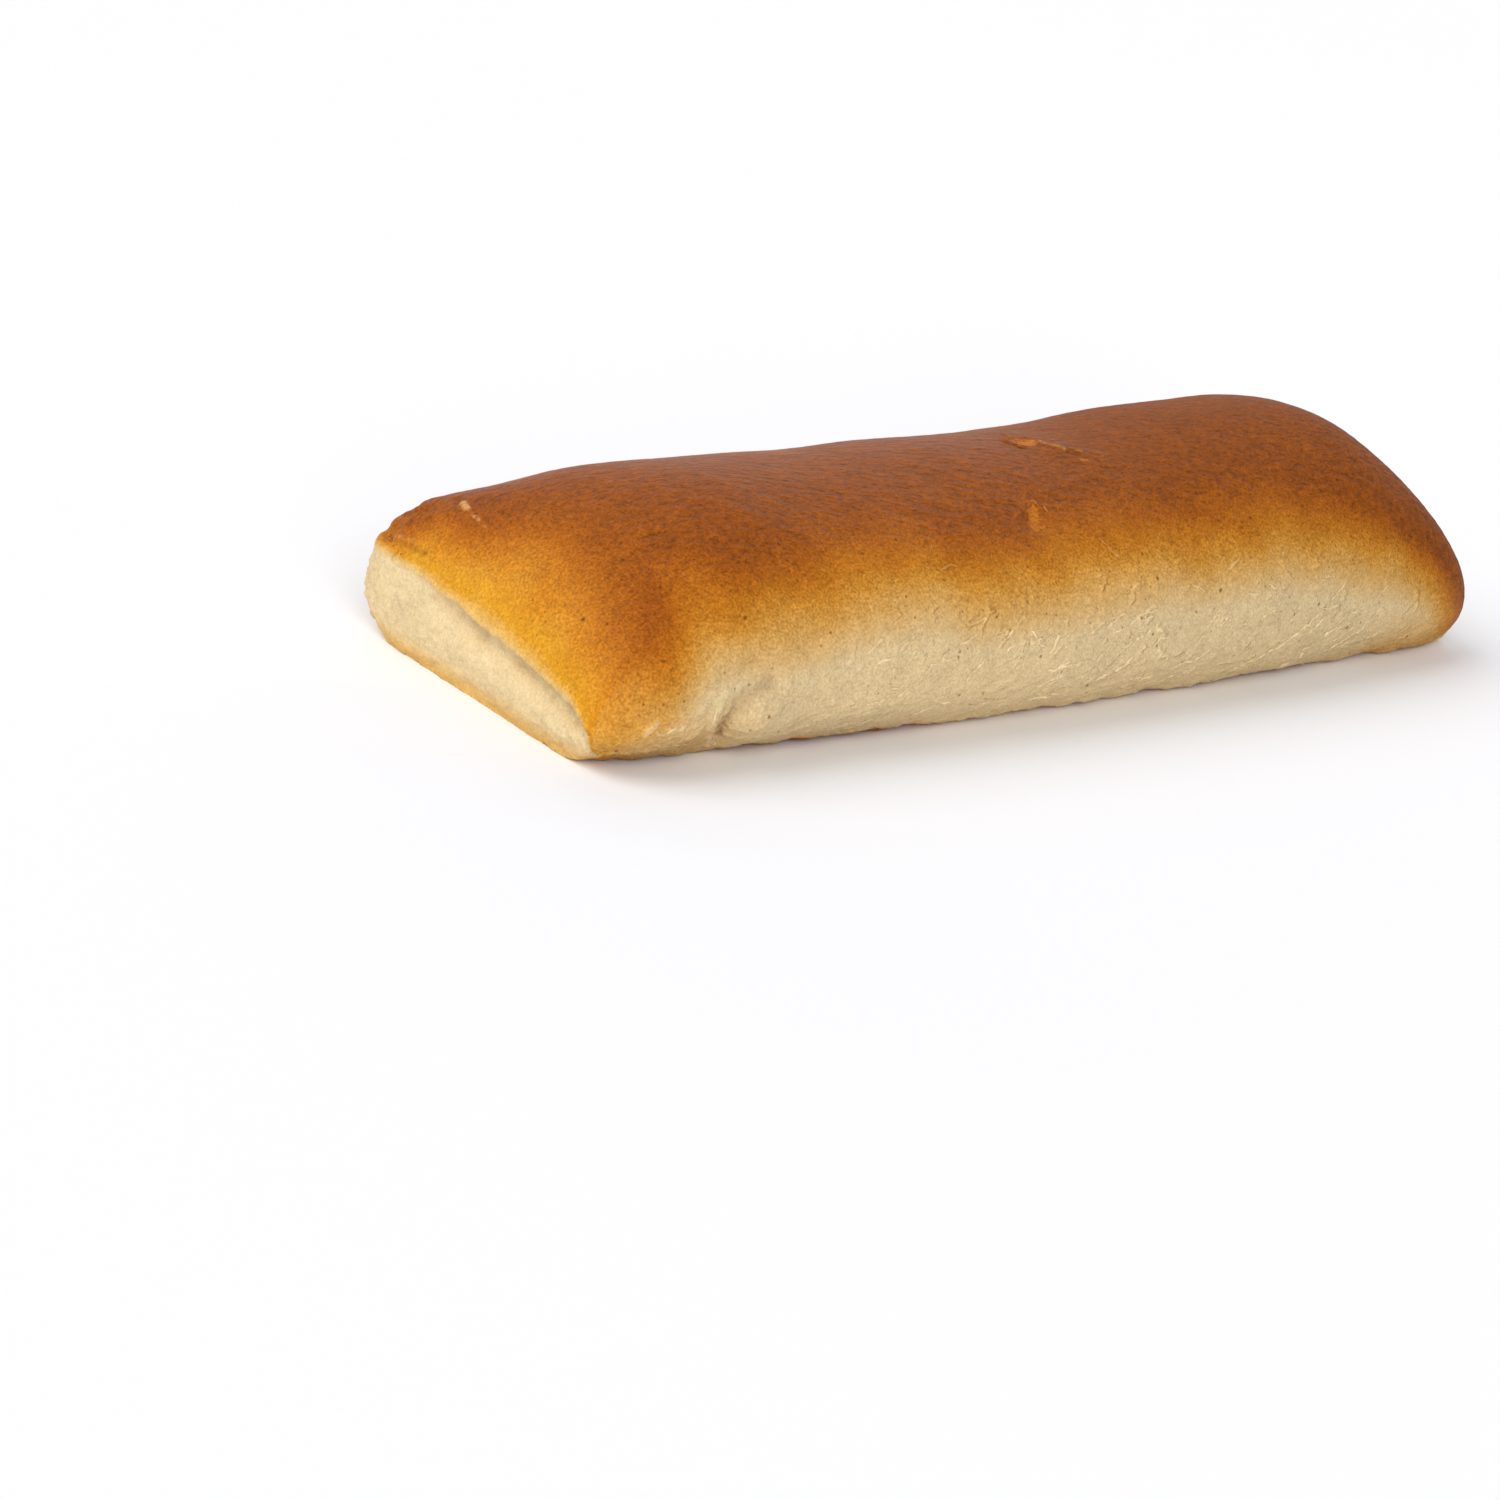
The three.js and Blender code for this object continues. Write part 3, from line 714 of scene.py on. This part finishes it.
def mark_fields(make, lines, refined, place):
    """Relief and tints of the nearest mark, fading out from its line."""
    source = make.add("GeometryNodeObjectInfo", {"Object": lines}, transform_space="ORIGINAL")
    curve = drawn_lines(make, source.outputs["Geometry"], MARK_SPACING)
    points = make.add("GeometryNodeCurveToPoints", {"Curve": curve}, mode="EVALUATED").outputs["Points"]
    snapped = moved_to(make, points, nearest_place(make, refined))
    nearest = make.add("GeometryNodeSampleNearest", {"Geometry": snapped, "Sample Position": place})

    def sampled(value, kind):
        inputs = {"Geometry": snapped, "Value": value, "Index": nearest.outputs["Index"]}
        return make.add("GeometryNodeSampleIndex", inputs, data_type=kind, domain="POINT").outputs["Value"]

    def size(name):
        return sampled(kept_field(make, "stroke_" + name), "FLOAT")

    spot = sampled(make.add("GeometryNodeInputPosition").outputs["Position"], "FLOAT_VECTOR")
    jitter = make.stray(place, MARK_STRAY["size"], MARK_STRAY["reach"])
    away = make.vector("DISTANCE", make.vector("ADD", place, jitter), spot)
    share = make.calc("DIVIDE", away, size("width"))
    fade = make.calc("EXPONENT", make.product(share, share, share, -1.0))
    relief = make.product(fade, size("height"))
    return relief, {"mark_" + tint: make.product(fade, size(tint)) for tint in MARK_TINTS}


def crust_tree(finish):
    """The rule that turns the merged solid into the crust: refined, browned, wrinkled and marked."""
    tree, given, result = new_tree(
        "crust_relief",
        "GeometryNodeTree",
        {
            "Geometry": "Geometry",
            "Refine Steps": "Int",
            "Edge Angle": "Float",
            "Edge Firmness": "Float",
            "Mark Lines": "Object",
            "Swell Height": "Float",
            "Crepe Height": "Float",
            "Crest Height": "Float",
            "Rim Height": "Float",
            "Fluff Height": "Float",
        },
        {"Geometry": "Geometry"},
    )
    make = TreeMaker(tree)
    edge = make.add("GeometryNodeInputMeshEdgeAngle").outputs["Unsigned Angle"]
    sharp = make.product(make.calc("GREATER_THAN", edge, given["Edge Angle"]), given["Edge Firmness"])
    refined = make.add(
        "GeometryNodeSubdivisionSurface",
        {"Mesh": given["Geometry"], "Level": given["Refine Steps"], "Edge Crease": sharp},
    ).outputs["Mesh"]

    place = make.add("GeometryNodeInputPosition").outputs["Position"]
    normal = make.add("GeometryNodeInputNormal").outputs["Normal"]
    up = make.split(place)[2]
    near_bare, near_away, near_hollow, near_lip = face_fields(make, place, NEAR_FACE)
    far_bare, far_away, far_hollow, far_lip = face_fields(make, place, FAR_FACE)
    bare_face = make.calc("MAXIMUM", near_bare, far_bare)
    # The lips' hollows, kept as the mask for painted shade on the bare dough
    face_hollow = make.calc("MAXIMUM", near_hollow, far_hollow)
    from_corner = make.vector("DISTANCE", place, CORNER_PLACE)
    near_away = make.calc("ADD", near_away, make.step(from_corner, *CORNER_LIFT))
    limit = make.calc("MINIMUM", lip_limit(make, near_away, NEAR_FACE), lip_limit(make, far_away, FAR_FACE))
    browning = browning_field(make, place, normal, bare_face, limit)
    gold = make.step(make.product(near_away, make.step(up, *FOOT_GOLD)), *GOLD_FADE)
    mark_relief, tints = mark_fields(make, given["Mark Lines"], refined, place)

    swell = make.product(make.swing(place, SWELL["size"]), given["Swell Height"])
    rippled = make.swing(slanted(make, place, SIDE_TURN, CREPE["length"], CREPE["gap"]), 1.0, CRUMBLY)
    from_crest = make.product(make.calc("ABSOLUTE", rippled), CREPE["sharpness"])
    near_crest = make.calc("SUBTRACT", 1.0, from_crest, clamp=True)
    crest = make.product(near_crest, near_crest)
    rounded = make.product(rippled, given["Crepe Height"])
    pinched = make.product(crest, given["Crest Height"])
    crepe = make.product(make.total(rounded, pinched), make.step(browning, *CREPE_FADE))
    from_cheek = make.vector("DISTANCE", place, CHEEK["place"])
    cheek = make.product(make.hump(from_cheek, 0.0, CHEEK["reach"]), CHEEK["height"])
    fluff = make.product(make.swing(place, FACE_FLUFF["size"], CRUMBLY), given["Fluff Height"], bare_face)
    at_corner = make.step(from_corner, *CORNER_FADE)
    scallops = make.product(make.swing(place, CORNER_RAG["size"], SOFT), CORNER_RAG["height"], at_corner)
    raised = make.total(swell, crepe, cheek, mark_relief, fluff, near_lip, far_lip, scallops)
    ragged = make.product(make.swing(place, RIM_RAG["size"]), given["Rim Height"], make.step(up, *RIM_FADE))
    relief = make.total(make.product(raised, make.step(up, *BASE_KEEP)), ragged)
    along, across, height = make.split(make.vector("ADD", place, make.scaled(normal, relief)))
    off_base = make.calc("GREATER_THAN", up, BASE_LAYER)
    height = make.product(make.calc("MAXIMUM", height, 0.0), off_base)
    target = make.add("ShaderNodeCombineXYZ", {"X": along, "Y": across, "Z": height}).outputs["Vector"]

    fields = {"browning": browning, "gold": gold, "bare_face": bare_face, "face_hollow": face_hollow}
    geometry = moved_to(make, with_fields(make, refined, fields | tints), target)
    make.feed(result["Geometry"], with_finish(make, geometry, finish))
    return tree


def baked_roll(node, finish):
    """The whole roll's crust, worked up from the solid."""
    marks = [
        {"on": side, "width": width, "height": height, tint: share, "path": path}
        for side, width, height, tint, share, path in MARKS
    ]
    lines = dropped_lines("mark_lines", marks, node, ("width", "height", *MARK_TINTS))
    values = {
        "Refine Steps": REFINE_STEPS,
        "Edge Angle": EDGE_ANGLE,
        "Edge Firmness": EDGE_FIRMNESS,
        "Mark Lines": lines,
        "Swell Height": SWELL["height"],
        "Crepe Height": CREPE["height"],
        "Crest Height": CREPE["crest"],
        "Rim Height": RIM_RAG["height"],
        "Fluff Height": FACE_FLUFF["height"],
    }
    roll = worked_piece("baked_roll", merged_solid(node), crust_tree(finish), values)
    bpy.data.objects.remove(lines)
    return roll


# Wisps of lifted skin


def placed_wisps():
    """The wisps that have a place of their own."""
    return [
        {"on": side, "pale": pale, "width": width, "path": path}
        for side, pale, wisps in WISPS
        for width, path in wisps
    ]


def strewn_wisps():
    """Small slanting wisps strewn over the pale part of both sides."""
    chance = random.Random(STREWN["seed"])
    wisps = []
    for index in range(STREWN["count"]):
        along = chance.uniform(*STREWN["along"])
        up = chance.uniform(*STREWN["up"])
        length = chance.uniform(*STREWN["length"])
        rise = length * chance.uniform(*STREWN["slope"])
        middle = (along + length / 2, up + rise / 2 + chance.uniform(*STREWN["bend"]))
        path = [(along, up), middle, (along + length, up + rise)]
        side = STREWN_SIDES[index % len(STREWN_SIDES)]
        width = chance.uniform(*STREWN["width"])
        wisps.append({"on": side, "path": path, "width": width, "pale": chance.uniform(*STREWN["pale"])})
    return wisps


def wisp_tree(finish):
    """The rule that turns lines on the crust into thin ragged wisps of its skin."""
    tree, given, result = new_tree(
        "skin_wisps",
        "GeometryNodeTree",
        {
            "Geometry": "Geometry",
            "Crust": "Object",
            "Step": "Float",
            "Stray": "Float",
            "Lift": "Float",
            "Flatness": "Float",
            "Sides": "Int",
        },
        {"Geometry": "Geometry"},
    )
    make = TreeMaker(tree)
    crust = make.add("GeometryNodeObjectInfo", {"Object": given["Crust"]}).outputs["Geometry"]
    place = make.add("GeometryNodeInputPosition").outputs["Position"]

    def on_crust(value, kind):
        inputs = {"Mesh": crust, "Value": value, "Sample Position": place}
        return make.add("GeometryNodeSampleNearestSurface", inputs, data_type=kind).outputs["Value"]

    curve = drawn_lines(make, given["Geometry"], given["Step"])
    stray = make.stray(place, WISP_STRAY["size"], given["Stray"])
    curve = make.add("GeometryNodeSetPosition", {"Geometry": curve, "Offset": stray}).outputs["Geometry"]
    normal = on_crust(make.add("GeometryNodeInputNormal").outputs["Normal"], "FLOAT_VECTOR")
    lifted = make.vector("ADD", nearest_place(make, crust), make.scaled(normal, given["Lift"]))
    inputs = {"Curve": moved_to(make, curve, lifted), "Normal": normal}
    curve = make.add("GeometryNodeSetCurveNormal", inputs, mode="FREE").outputs["Curve"]

    along = make.add("GeometryNodeSplineParameter").outputs["Factor"]
    rounded = make.calc("POWER", make.calc("SINE", make.calc("MULTIPLY", along, math.pi)), WISP_ROUNDING)
    taper = make.calc("MAXIMUM", rounded, WISP_TIP)
    crumbly = make.step(make.noise(place, WISP_CRUMBS["size"]), *WISP_CRUMBS["ramp"])
    inputs = {"Resolution": given["Sides"], "Radius": WISP_RADIUS}
    circle = make.add("GeometryNodeCurvePrimitiveCircle", inputs).outputs["Curve"]
    flat = make.add("ShaderNodeCombineXYZ", {"X": given["Flatness"], "Y": 1.0, "Z": 1.0}).outputs["Vector"]
    profile = make.add("GeometryNodeTransform", {"Geometry": circle, "Scale": flat}).outputs["Geometry"]
    wide = make.product(kept_field(make, "stroke_width"), taper, crumbly)
    inputs = {"Curve": curve, "Profile Curve": profile, "Scale": wide, "Fill Caps": True}
    strips = make.add("GeometryNodeCurveToMesh", inputs).outputs["Mesh"]
    fields = {name: on_crust(kept_field(make, name), "FLOAT") for name in WISP_FIELDS}
    make.feed(result["Geometry"], with_finish(make, with_fields(make, strips, fields), finish))
    return tree


def skin_wisps(roll, finish):
    """All the wisps of lifted skin, lying on the crust."""
    lines = dropped_lines("wisp_lines", placed_wisps() + strewn_wisps(), roll, ("width", "pale"))
    start = lines.data
    bpy.data.objects.remove(lines)
    values = {
        "Crust": roll,
        "Step": WISP_STEP,
        "Stray": WISP_STRAY["reach"],
        "Lift": WISP_LIFT,
        "Flatness": WISP_FLATNESS,
        "Sides": WISP_SIDES,
    }
    return worked_piece("skin_wisps", start, wisp_tree(finish), values)


# Finishes


def effect_group(name, outputs):
    """An empty shader group that is given a place, as its maker, that place and its results."""
    results = {output: "Float" for output in outputs}
    tree, given, result = new_tree(name, "ShaderNodeTree", {"Place": "Vector"}, results)
    return TreeMaker(tree), given["Place"], result


def grain_group():
    """Fine grain of a baked skin: a tone and layers that vary about zero, and a height for bump."""
    make, place, result = effect_group("crust_grain", ("Tone", "Streaks", "Lumps", "Creases", "Height"))
    drawn = make.vector("MULTIPLY", place, STREAK_STRETCH)
    gathered = slanted(make, place, CROWN_TURN, CREASE["length"], CREASE["gap"])
    layers = {
        "Fine": make.swing(place, GRAIN_SIZES["Fine"], PLAIN),
        "Streaks": make.swing(drawn, GRAIN_SIZES["Streaks"], SOFT),
        "Lumps": make.swing(place, GRAIN_SIZES["Lumps"], ROUGH),
        "Creases": make.swing(gathered, 1.0, CRUMBLY),
    }
    make.feed(result["Tone"], make.weighed(layers, TONE_PARTS))
    make.feed(result["Height"], make.weighed(layers, BUMP_PARTS))
    for name in LEATHER_PARTS:
        make.feed(result[name], layers[name])
    return make.tree


def speck_group():
    """Small dark specks of browned flour, scattered unevenly: up to 1 on a speck."""
    make, place, result = effect_group("crust_specks", ("Mask",))
    mask = 0.0
    for gap, radius, share, depth in SPECKS:
        cells = make.add("ShaderNodeTexVoronoi", {"Vector": place, "Scale": 1 / gap})
        pick = make.add("ShaderNodeSeparateColor", {"Color": cells.outputs["Color"]})
        shown = make.calc("LESS_THAN", pick.outputs["Red"], share)
        edge = make.product(make.step(pick.outputs["Green"], *SPECK_SPREAD), radius / gap)
        spot = make.calc("SUBTRACT", 1.0, make.calc("DIVIDE", cells.outputs["Distance"], edge), clamp=True)
        mask = make.calc("MAXIMUM", mask, make.product(make.step(spot, *SPECK_EDGE), shown, depth))
    make.feed(result["Mask"], mask)
    return make.tree


def wrinkle_group():
    """Thin broken lines that run slantwise along the dough, 0 in between and 1 on a line."""
    make, place, result = effect_group("crust_wrinkles", ("Ridge",))
    drawn = slanted(make, place, SIDE_TURN, WRINKLE["length"], WRINKLE["gap"])
    stray = make.stray(drawn, 1 / WRINKLE["bends"], WRINKLE["stray"], CRUMBLY)
    inputs = {"Vector": make.vector("ADD", drawn, stray), "Scale": 1.0}
    cells = make.add("ShaderNodeTexVoronoi", inputs, feature="DISTANCE_TO_EDGE")
    line = make.step(cells.outputs["Distance"], *WRINKLE_LINE)
    broken = make.step(make.noise(place, WRINKLE_BREAK["size"]), *WRINKLE_BREAK["ramp"])
    patches = make.step(make.noise(place, WRINKLE_PATCH["size"], SOFT), *WRINKLE_PATCH["ramp"])
    spread = make.step(make.split(place)[0], *WRINKLE_SPREAD)
    make.feed(result["Ridge"], make.product(line, broken, patches, spread))
    return make.tree


def new_material(name):
    """A new material, the maker of its nodes, its shader's inputs and the place that is shaded."""
    material = bpy.data.materials.new(name)
    material.use_nodes = True
    make = TreeMaker(material.node_tree)
    place = make.add("ShaderNodeTexCoord").outputs["Object"]
    return material, make, material.node_tree.nodes["Principled BSDF"].inputs, place


def effect(make, group, place):
    """The results of a shared effect at a place."""
    return make.add("ShaderNodeGroup", {"Place": place}, node_tree=group).outputs


def attribute(make, name):
    """A number that the mesh keeps under a name."""
    return make.add("ShaderNodeAttribute", attribute_name=name, attribute_type="GEOMETRY").outputs["Fac"]


def colour_ramp(make, share, stops):
    """A run of colours along a share."""
    ramp = make.add("ShaderNodeValToRGB", {"Fac": share})
    elements = ramp.color_ramp.elements
    for index, (place, colour) in enumerate(stops):
        element = elements[index] if index < len(elements) else elements.new(place)
        element.position = place
        element.color = linear(colour)
    return ramp.outputs["Color"]


def bare_dough(make, place, up):
    """Colour of the ends' bare dough: fluffy, with painted shade in the lip's hollow, and browned at the foot.
    """
    fluffy = make.step(make.noise(place, FACE_CRUMB["size"], FLUFFY), *FACE_CRUMB["ramp"])
    dough = make.blend(fluffy, linear(FACE_SHADE_COLOUR), linear(FACE_COLOUR))
    # Painted shade on the dough in the hollow under the lip
    hollow = make.product(attribute(make, "face_hollow"), fluffy)
    dough = make.blend(hollow, dough, linear(FACE_HOLLOW_PAINTED_SHADE_COLOUR))
    return make.blend(make.step(up, *FACE_FOOT), dough, linear(FOOT_COLOUR))


def marked(make, place, browning, colour):
    """The colour with the marks' tints over it: bare under-skin, painted shade in cracks and creases, and pale
    torn skin.
    """
    ragged = make.product(make.swing(place, RAGGED_EDGE["size"]), RAGGED_EDGE["share"])
    torn = make.step(make.calc("ADD", attribute(make, "mark_bare"), ragged), *TORN_EDGE)
    colour = make.blend(torn, colour, linear(BARE_COLOUR))
    # Painted shade in the marks' sunken cracks and creases
    colour = make.blend(attribute(make, "mark_dark"), colour, linear(CRACK_PAINTED_SHADE_COLOUR))
    torn_skin = make.blend(make.step(browning, *CHIP_RAMP), linear(WISP_COLOUR), linear(CHIP_COLOUR))
    pale = attribute(make, "mark_pale")
    frayed = make.product(pale, make.step(make.calc("ADD", pale, ragged), *FRAYED_EDGE))
    return make.blend(frayed, colour, torn_skin)


def baked_crust(groups):
    """Crust from pale dough to brown crown: grain, specks, pale wrinkles, marks, and painted light and shade.
    """
    material, make, shader, place = new_material("baked_crust")
    along, _, up = make.split(place)
    grain = effect(make, groups["grain"], place)
    specks = effect(make, groups["specks"], place)
    wrinkles = effect(make, groups["wrinkles"], place)
    browning = attribute(make, "browning")
    gold = attribute(make, "gold")
    bare_face = attribute(make, "bare_face")
    crusted = make.calc("SUBTRACT", 1.0, bare_face)

    patchy = make.product(make.swing(place, BLOTCH["size"], CRUMBLY), BLOTCH["browning"])
    blotch = make.total(patchy, make.product(grain["Tone"], GRAIN_BROWNING))
    baked = make.calc("ADD", browning, make.product(blotch, make.step(browning, *BLOTCH_RAMP)))
    skin = make.blend(gold, colour_ramp(make, baked, BAKE_COLOURS), colour_ramp(make, baked, GOLD_COLOURS))
    colour = make.blend(bare_face, skin, bare_dough(make, place, up))
    colour = marked(make, place, browning, colour)
    colour = make.blend(make.product(specks["Mask"], crusted), colour, linear(SPECK_COLOUR))

    smoother = make.product(bare_face, PALE_GRAIN - FACE_GRAIN)
    strength = make.calc("SUBTRACT", make.step(browning, *GRAIN_RAMP), smoother)
    grained = make.product(grain["Tone"], strength)
    leather = make.product(make.weighed(grain, LEATHER_PARTS), make.step(browning, *LEATHER_RAMP))
    mottle = make.product(make.swing(place, MOTTLE["size"], CRUMBLY), MOTTLE["share"])
    ridge = make.product(wrinkles["Ridge"], make.step(browning, *PALE_RAMP), crusted)
    # Painted light and shade near the feet, and painted shade towards the far end, on the crust only
    foot_painted_light_and_shade = [make.product(make.hump(along, middle, reach), tone) for middle, reach, tone in FOOT_PAINTED_LIGHT_AND_SHADE]
    low = make.product(make.total(*foot_painted_light_and_shade), make.step(up, *FOOT_FADE))
    painted_light_and_shade = make.product(make.calc("ADD", make.step(along, *FAR_PAINTED_SHADE), low), crusted)
    shade = make.total(1.0, grained, leather, mottle, make.product(ridge, RIDGE_SHARE), painted_light_and_shade)
    make.feed(shader["Base Color"], make.scaled(colour, shade))

    matt = make.calc("ADD", make.step(along, *FAR_MATT), make.product(gold, GOLD_MATT))
    rough = make.total(make.step(browning, *SATIN_RAMP), matt, make.product(grain["Tone"], GRAIN_MATT))
    make.feed(shader["Roughness"], rough)
    shader["Specular IOR Level"].default_value = GLOSS_LEVEL
    leathery = make.product(grain["Height"], make.step(browning, *SKIN_BUMP_RAMP))
    folded = make.product(grain["Creases"], make.step(browning, *CREASE_BUMP_RAMP))
    height = make.total(leathery, folded, make.product(ridge, RIDGE_BUMP))
    inputs = {"Strength": BUMP_STRENGTH, "Distance": BUMP_DISTANCE, "Height": height}
    make.feed(shader["Normal"], make.add("ShaderNodeBump", inputs).outputs["Normal"])
    return material


def lifted_skin(groups):
    """The wisps: paler than the crust that they lift from."""
    material, make, shader, place = new_material("lifted_skin")
    grain = effect(make, groups["grain"], place)
    browning = attribute(make, "browning")
    side = colour_ramp(make, make.product(browning, WISP_BROWNING["side"]), BAKE_COLOURS)
    golden = colour_ramp(make, make.product(browning, WISP_BROWNING["gold"]), GOLD_COLOURS)
    skin = make.blend(attribute(make, "gold"), side, golden)
    pale = make.product(attribute(make, "stroke_pale"), make.step(browning, *WISP_PALE_RAMP))
    colour = make.blend(pale, skin, linear(WISP_COLOUR))
    shade = make.total(1.0, make.product(grain["Tone"], PALE_GRAIN))
    make.feed(shader["Base Color"], make.scaled(colour, shade))
    make.feed(shader["Roughness"], make.total(WISP_ROUGHNESS, make.product(grain["Tone"], GRAIN_MATT)))
    shader["Specular IOR Level"].default_value = GLOSS_LEVEL
    return material


def table_finish():
    """Pale matt board with the faintest mottling."""
    material, make, shader, place = new_material("pale_table")
    cloud = make.noise(place, TABLE_CLOUD)
    make.feed(shader["Base Color"], make.blend(cloud, linear(TABLE_COLOUR), linear(TABLE_CLOUD_COLOUR)))
    shader["Roughness"].default_value = 1.0
    shader["Specular IOR Level"].default_value = 0.0
    return material


# Table, light and camera


def lay_table():
    """A wide flat table under the roll."""
    mesh = bpy.data.meshes.new("table")
    ways = [(-1, -1), (1, -1), (1, 1), (-1, 1)]
    corners = [(along * TABLE_HALF, across * TABLE_HALF, 0) for along, across in ways]
    mesh.from_pydata(corners, [], [range(len(corners))])
    mesh.materials.append(table_finish())
    table = bpy.data.objects.new("table", mesh)
    bpy.context.scene.collection.objects.link(table)


def gaze(place, target):
    """The turn that makes a lamp or a camera at a place look at a target."""
    return (Vector(target) - Vector(place)).to_track_quat("-Z", "Y")


def hang_lamp(name, lamp):
    """A broad far-off lamp that shines evenly on the whole table."""
    data = bpy.data.lights.new(name, "SUN")
    data.energy = lamp["strength"]
    data.angle = lamp["spread"]
    light = bpy.data.objects.new(name, data)
    light.location = lamp["from"]
    light.rotation_euler = gaze(lamp["from"], (0, 0, 0)).to_euler()
    bpy.context.scene.collection.objects.link(light)


def light_studio():
    """The lamps, and an even room that the camera sees as a white backdrop."""
    hang_lamp("key", KEY)
    hang_lamp("fill", FILL)
    hang_lamp("back", BACK)
    room = bpy.data.worlds.new("room")
    room.use_nodes = True
    make = TreeMaker(room.node_tree)
    seen = make.add("ShaderNodeLightPath").outputs["Is Camera Ray"]
    backdrop = room.node_tree.nodes["Background"].inputs
    backdrop["Color"].default_value = ROOM_COLOUR
    make.feed(backdrop["Strength"], make.step(seen, 0.0, 1.0, ROOM_STRENGTH, BACKDROP_STRENGTH))
    bpy.context.scene.world = room
    bpy.context.scene.view_settings.view_transform = "Standard"


def place_camera():
    """The camera at the photo's view."""
    data = bpy.data.cameras.new("camera")
    data.sensor_width = CAMERA_SENSOR
    data.lens = CAMERA_SENSOR / 2 / math.tan(CAMERA_VIEW / 2)
    data.clip_start = CAMERA_CLIP
    camera = bpy.data.objects.new("camera", data)
    look = gaze(CAMERA_PLACE, CAMERA_AIM).to_matrix().to_4x4()
    camera.matrix_world = Matrix.Translation(CAMERA_PLACE) @ look @ Matrix.Rotation(CAMERA_TURN, 4, "Z")
    bpy.context.scene.collection.objects.link(camera)
    bpy.context.scene.camera = camera


place_camera()
light_studio()
lay_table()
shared = {"grain": grain_group(), "specks": speck_group(), "wrinkles": wrinkle_group()}
roll = baked_roll(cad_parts["sausage_roll"], baked_crust(shared))
wisps = skin_wisps(roll, lifted_skin(shared))
for piece in (roll, wisps):
    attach(piece, "root")
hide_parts("sausage_roll")
